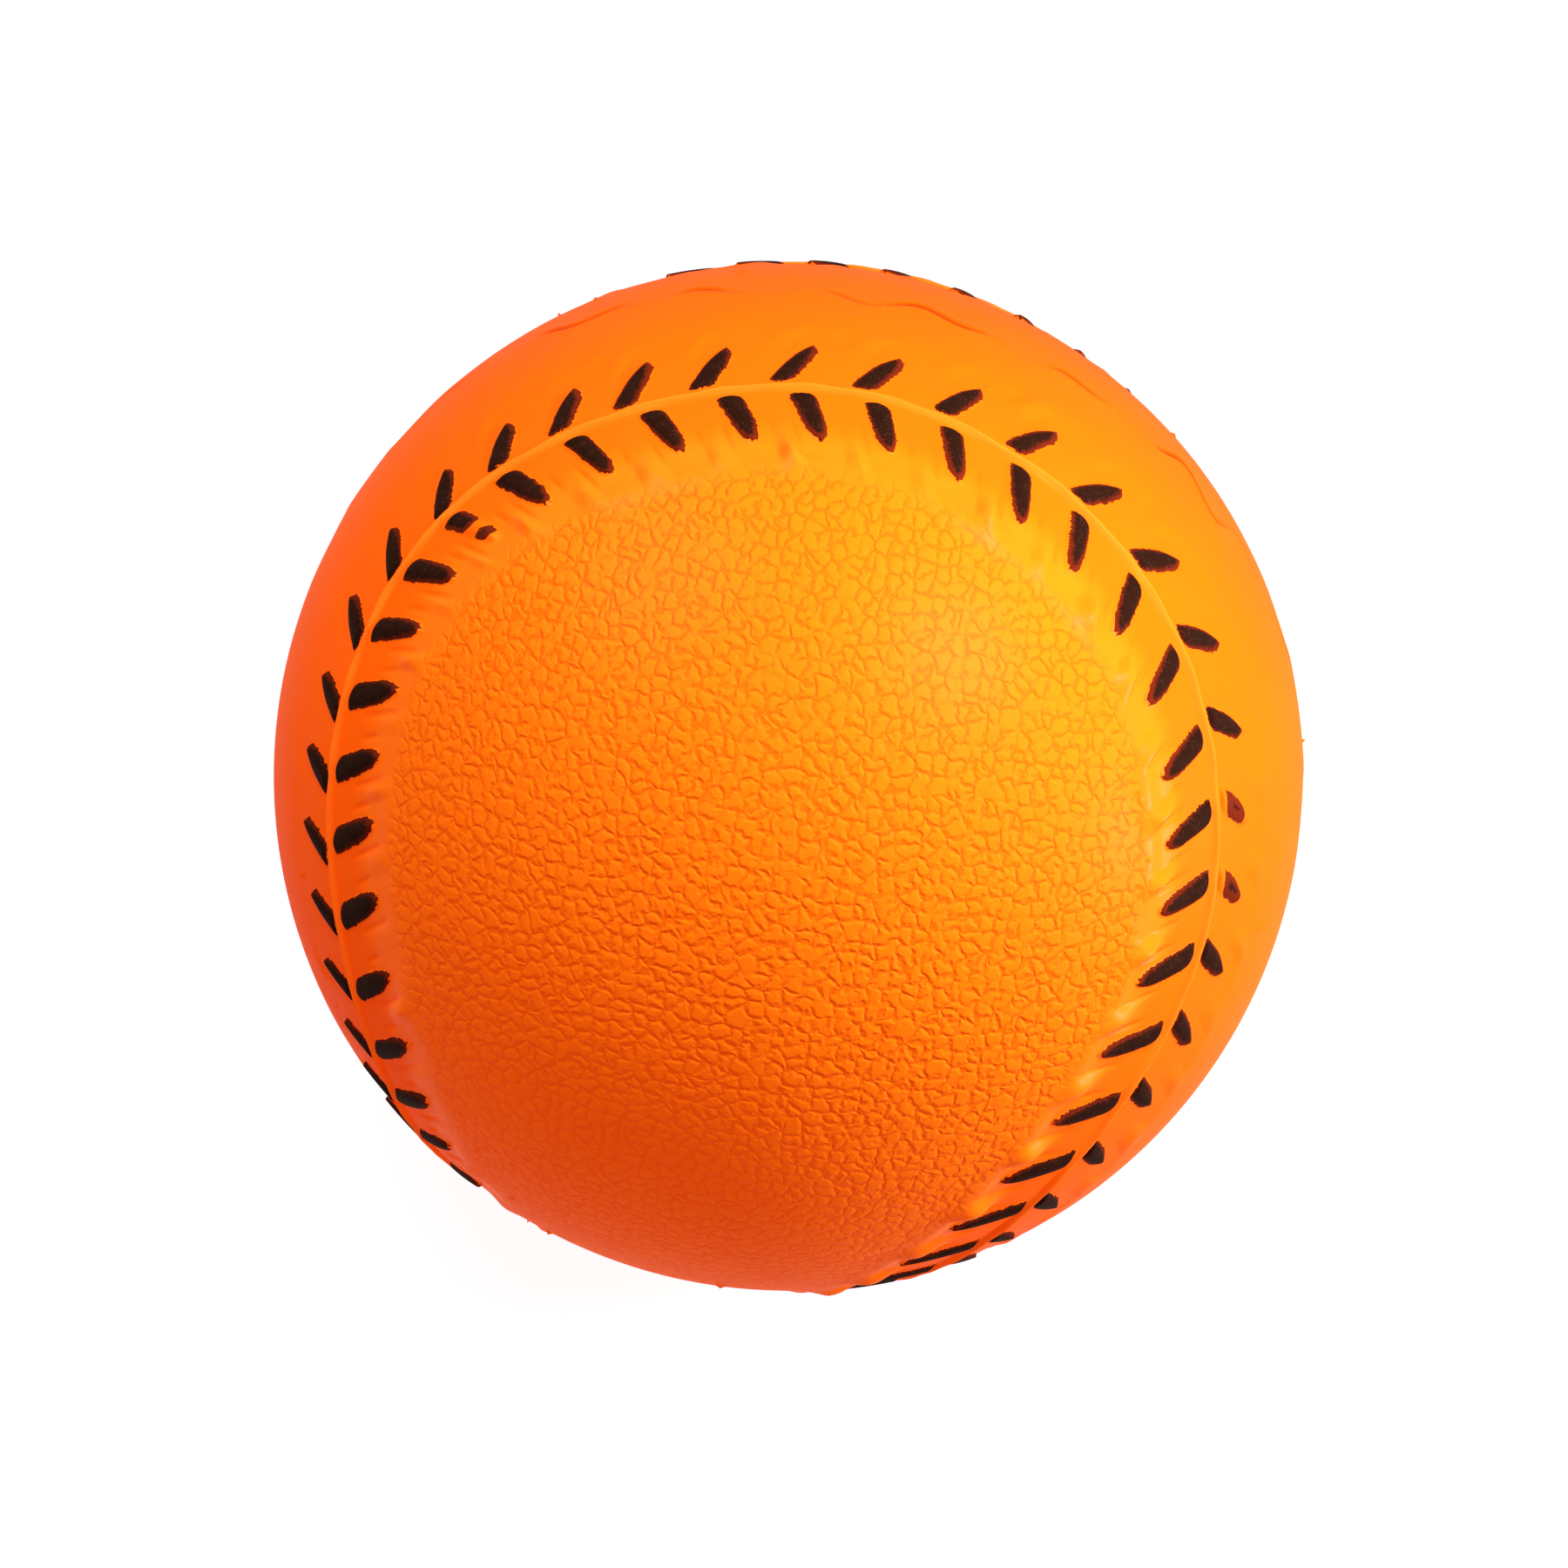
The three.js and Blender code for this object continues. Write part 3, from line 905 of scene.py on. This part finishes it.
def make_paint(row_index, row, material):
    """The paint on one row of stitches: a thin closed film on each, rooted in the skin."""
    points, faces, edge_values, wear_values = [], [], [], []
    shape = (PAINT_STEPS_ALONG + 1, PAINT_STEPS_ACROSS + 1)
    size = shape[0] * shape[1]
    rim = grid_rim(*shape)
    walls = np.stack([rim, np.roll(rim, -1), np.roll(rim, -1) + size, rim + size], axis=1)
    top, bottom = grid_faces(*shape, row.side < 0), grid_faces(*shape, row.side > 0) + size
    walls = walls if row.side > 0 else walls[:, ::-1]
    film_faces = np.concatenate([top, bottom, walls])
    for pair in range(STITCH_PAIRS):
        whole = {"spans": ((0.0, 1.0),), "thin": random.uniform(0, MOST_THIN)}
        sparse = SPARSE_PAINT.get((row_index, pair), whole)
        for span in sparse["spans"]:
            travel, distance, share, from_edge = paint_film(row, pair, span)
            offset = row.side * distance
            directions = direction_beside(travel, offset)
            radius = BAND_RADIUS + skin_height(travel % seam_length, offset, directions)
            thickness = PAINT_THICKNESS * smooth_step(*PAINT_EDGE_RISE, from_edge)
            over = directions * (radius + thickness)[..., None]
            under = directions * (radius - PAINT_ROOT)[..., None]
            faces.append(film_faces + sum(len(block) for block in points))
            points += [over.reshape(-1, 3), under.reshape(-1, 3)]
            edge_values += [from_edge.ravel()] * 2
            wear_values += [(sparse["thin"] + THIN_AT_TIP * share**2).ravel()] * 2
    piece = make_piece(row.name, np.concatenate(points), np.concatenate(faces), [material])
    add_values(piece, "from_edge", np.concatenate(edge_values))
    add_values(piece, "thin_paint", np.concatenate(wear_values))


def make_foam(material):
    """The foam inside, with shallow pits in its face."""
    directions, faces = ball_mesh(lambda middle, offset: np.full(len(middle), FOAM_EDGE))
    pits = sampled(directions * BALL_RADIUS, lambda graph, place: graph.noise(place, PIT_SIZE, 3.0))
    radius = FOAM_RADIUS - PIT_DEPTH * np.clip(pits - PIT_START, 0, 1)
    piece = make_piece("foam_filling", directions * radius[:, None], faces, [material])
    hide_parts("foam_core")


# Finishes

def new_material(name, sockets_for):
    """A material whose Principled shader takes what sockets_for works out on a graph."""
    material = bpy.data.materials.new(name)
    material.use_nodes = True
    material.node_tree.nodes.clear()
    graph = Graph(material.node_tree)
    shader = graph.node("ShaderNodeBsdfPrincipled", {}, sockets_for(graph))
    graph.node("ShaderNodeOutputMaterial", {}, {"Surface": shader})
    return material


def ball_place(graph):
    """The place under the surface on the ball's even face, in millimetres."""
    place = graph.node("ShaderNodeTexCoord", output="Object")
    direction = graph.node("ShaderNodeVectorMath", {"operation": "NORMALIZE"}, {0: place})
    return direction * BALL_RADIUS


def kept_value(graph, name):
    """A number that add_values has kept on the piece."""
    return graph.node("ShaderNodeAttribute", {"attribute_name": name}, output="Fac")


def bumped(graph, height):
    """A normal from a height in millimetres."""
    return graph.node("ShaderNodeBump", {}, {"Distance": MM, "Height": height}, "Normal")


def skin_sockets(graph):
    """Orange skin, satin, with leather grain on its panels, some gloss on its pleats, painted shade in its
    grooves and crease, a painted highlight on its rib and a painted red glow in its shade.
    """
    place = ball_place(graph)
    offset = kept_value(graph, "seam_offset")
    share = graph.rise(offset, *GRAIN_RISE)
    share = share + graph.rise(-1 * offset, *GRAIN_RISE) * SIDE_GRAIN
    groove, line = (pattern * share for pattern in grain_grooves(graph, place))
    pores = graph.noise(place, PORE_SIZE, 2.0)
    cloud = graph.noise(place, CLOUD_SIZE, 3.0)
    # Painted highlight on the rib
    rib_highlight = 1 - graph.rise(graph.size_of(offset), *RIB_HIGHLIGHT_RISE)
    shade = graph.mix(graph.rise(offset, *PANEL_COLOUR_RISE), SKIN_ORANGE, PANEL_ORANGE)
    shade = graph.mix(rib_highlight, shade, RIB_HIGHLIGHT_ORANGE)
    # Painted shade in the grain's grooves
    shade = graph.mix(line * GROOVE_SHADE_SHARE, shade, GROOVE_SHADE_ORANGE)
    # Painted shade in the flash's crease
    shade = graph.mix(kept_value(graph, "parting_crease_shade") * CREASE_SHADE_SHARE, shade, CREASE_SHADE_BROWN)
    on_panel = graph.rise(offset, *PANEL_GLOSS_RISE)
    on_pleats = graph.rise(offset, *PLEAT_GLOSS_RISE) * (1 - on_panel)
    return {
        "Base Color": shade * (CLOUD_LEAST + cloud * CLOUD_SPREAD),
        "Roughness": SKIN_ROUGHNESS + pores * PORE_ROUGHNESS,
        "IOR": SKIN_IOR,
        "Coat Weight": on_pleats * PLEAT_GLOSS + on_panel * PANEL_GLOSS,
        "Coat Roughness": GLOSS_ROUGHNESS,
        # A painted red glow, which lifts the red of the skin's shaded side
        "Emission Color": (*GLOW_RED, 1.0),
        "Emission Strength": GLOW_STRENGTH,
        "Normal": bumped(graph, pores * PORE_DEPTH - groove * GRAIN_HEIGHT),
    }


def paint_sockets(graph):
    """Black paint with lighter specks, which lets the skin show through where it is thin."""
    place = ball_place(graph)
    edge = kept_value(graph, "from_edge")
    thin = kept_value(graph, "thin_paint")
    speckle = graph.noise(place, SPECK_SIZE, 2.0)
    blotch = graph.noise(place, BLOTCH_SIZE, 2.0)
    dust = graph.rise(speckle, *SPECK_RISE) * graph.rise(blotch, *BLOTCH_RISE)
    body = graph.mix(dust * DUST_SHARE, PAINT_BLACK, PAINT_DUST)
    starved = graph.rise(thin + speckle * STARVED_SPECK - edge * STARVED_EDGE, *STARVED_RISE)
    return {
        "Base Color": graph.mix(starved, body, PAINT_MAROON),
        "Roughness": PAINT_ROUGHNESS + speckle * SPECK_ROUGHNESS,
        "Specular IOR Level": PAINT_SHINE,
        "Normal": bumped(graph, speckle * SPECK_HEIGHT),
    }


def foam_sockets(graph):
    """Cream foam with open cells."""
    place = ball_place(graph)
    settings, sockets = {"feature": "F1"}, {"Vector": place, "Scale": 1 / FOAM_CELL}
    cell = graph.node("ShaderNodeTexVoronoi", settings, sockets, "Distance")
    open_cell = 1 - graph.rise(cell, *OPEN_CELL_RISE)
    return {
        "Base Color": graph.mix(open_cell, FOAM_CREAM, FOAM_SHADE),
        "Roughness": FOAM_ROUGHNESS,
        "Normal": bumped(graph, open_cell * -OPEN_CELL_DEPTH),
    }


def seen_straight(graph):
    """1 where the camera, a reflection or a clear piece shows the surroundings, and 0 for their light."""
    rays = [graph.node("ShaderNodeLightPath", output=f"Is {kind} Ray") for kind in FREE_RAYS]
    return graph.node("ShaderNodeMath", {"operation": "MINIMUM"}, {0: rays[0] + rays[1] + rays[2], 1: 1.0})


def floor_sockets(graph):
    """A floor that looks nearly white and lights the ball as a grey one."""
    shown = seen_straight(graph) * FLOOR_SHOWN
    return {
        "Base Color": (FLOOR_GREY, FLOOR_GREY, FLOOR_GREY, 1.0),
        "Roughness": 0.9,
        "Specular IOR Level": 0.0,
        "Emission Color": shown * (1.0, 1.0, 1.0),
        "Emission Strength": 1.0,
    }


# Studio

def view_directions():
    """The camera's right, up and back directions."""
    across = Vector((math.cos(VIEW_AZIMUTH), math.sin(VIEW_AZIMUTH), 0))
    back = Vector((
        math.sin(VIEW_AZIMUTH) * math.cos(VIEW_ELEVATION),
        -math.cos(VIEW_AZIMUTH) * math.cos(VIEW_ELEVATION),
        math.sin(VIEW_ELEVATION),
    ))
    upright = back.cross(across)
    right = across * math.cos(VIEW_ROLL) + upright * math.sin(VIEW_ROLL)
    return right, back.cross(right), back


def make_camera():
    """The camera, which looks at the ball's centre."""
    right, up, back = view_directions()
    camera = bpy.data.objects.new("camera", bpy.data.cameras.new("camera"))
    camera.data.lens = LENS
    camera.data.sensor_width = SENSOR
    camera.data.shift_x = SHIFT_X
    camera.data.shift_y = SHIFT_Y
    camera.data.clip_start = 0.01
    place = Matrix((right, up, back)).transposed().to_4x4()
    place.translation = back * VIEW_DISTANCE * MM
    camera.matrix_world = place
    bpy.context.scene.collection.objects.link(camera)
    bpy.context.scene.camera = camera


def make_lamps():
    """Round lamps that face the ball's centre, with the power that their light takes at their distance."""
    axes = view_directions()
    for lamp in LAMPS:
        light = bpy.data.lights.new(lamp["name"], "AREA")
        light.shape = "DISK"
        light.size = lamp["width"] * MM
        light.energy = (math.pi * lamp["distance"] * MM) ** 2 * lamp["light"]
        toward = sum((axis * share for axis, share in zip(axes, lamp["toward"])), Vector()).normalized()
        holder = bpy.data.objects.new(lamp["name"], light)
        holder.location = toward * lamp["distance"] * MM
        holder.rotation_euler = toward.to_track_quat("Z", "Y").to_euler()
        holder.visible_camera = False
        bpy.context.scene.collection.objects.link(holder)


def make_world():
    """Even light, with white where the camera looks past the floor."""
    world = bpy.data.worlds.new("studio")
    bpy.context.scene.world = world
    world.use_nodes = True
    world.node_tree.nodes.clear()
    graph = Graph(world.node_tree)
    strength = AMBIENT + seen_straight(graph) * (1 - AMBIENT)
    background = graph.node("ShaderNodeBackground", {}, {"Color": (1, 1, 1, 1), "Strength": strength})
    graph.node("ShaderNodeOutputWorld", {}, {"Surface": background})


def make_floor():
    """A pale floor that looks white and keeps the ball's soft shadow."""
    angles = np.linspace(0, 2 * np.pi, FLOOR_CORNERS, endpoint=False)
    rim = np.stack([np.cos(angles), np.sin(angles), np.zeros(FLOOR_CORNERS)], axis=1) * FLOOR_RADIUS * MM
    rim[:, 2] = cad_box[0][2]
    mesh = bpy.data.meshes.new("floor")
    mesh.from_pydata(rim.tolist(), [], [list(range(FLOOR_CORNERS))])
    mesh.materials.append(new_material("pale_floor", floor_sockets))
    floor = bpy.data.objects.new("floor", mesh)
    bpy.context.scene.collection.objects.link(floor)


make_camera()
make_skin(new_material("moulded_skin", skin_sockets))
paint = new_material("brushed_paint", paint_sockets)
for index, stitch_row in enumerate(rows):
    make_paint(index, stitch_row, paint)
make_foam(new_material("open_foam", foam_sockets))
make_floor()
make_lamps()
make_world()
bpy.context.scene.view_settings.view_transform = "Standard"
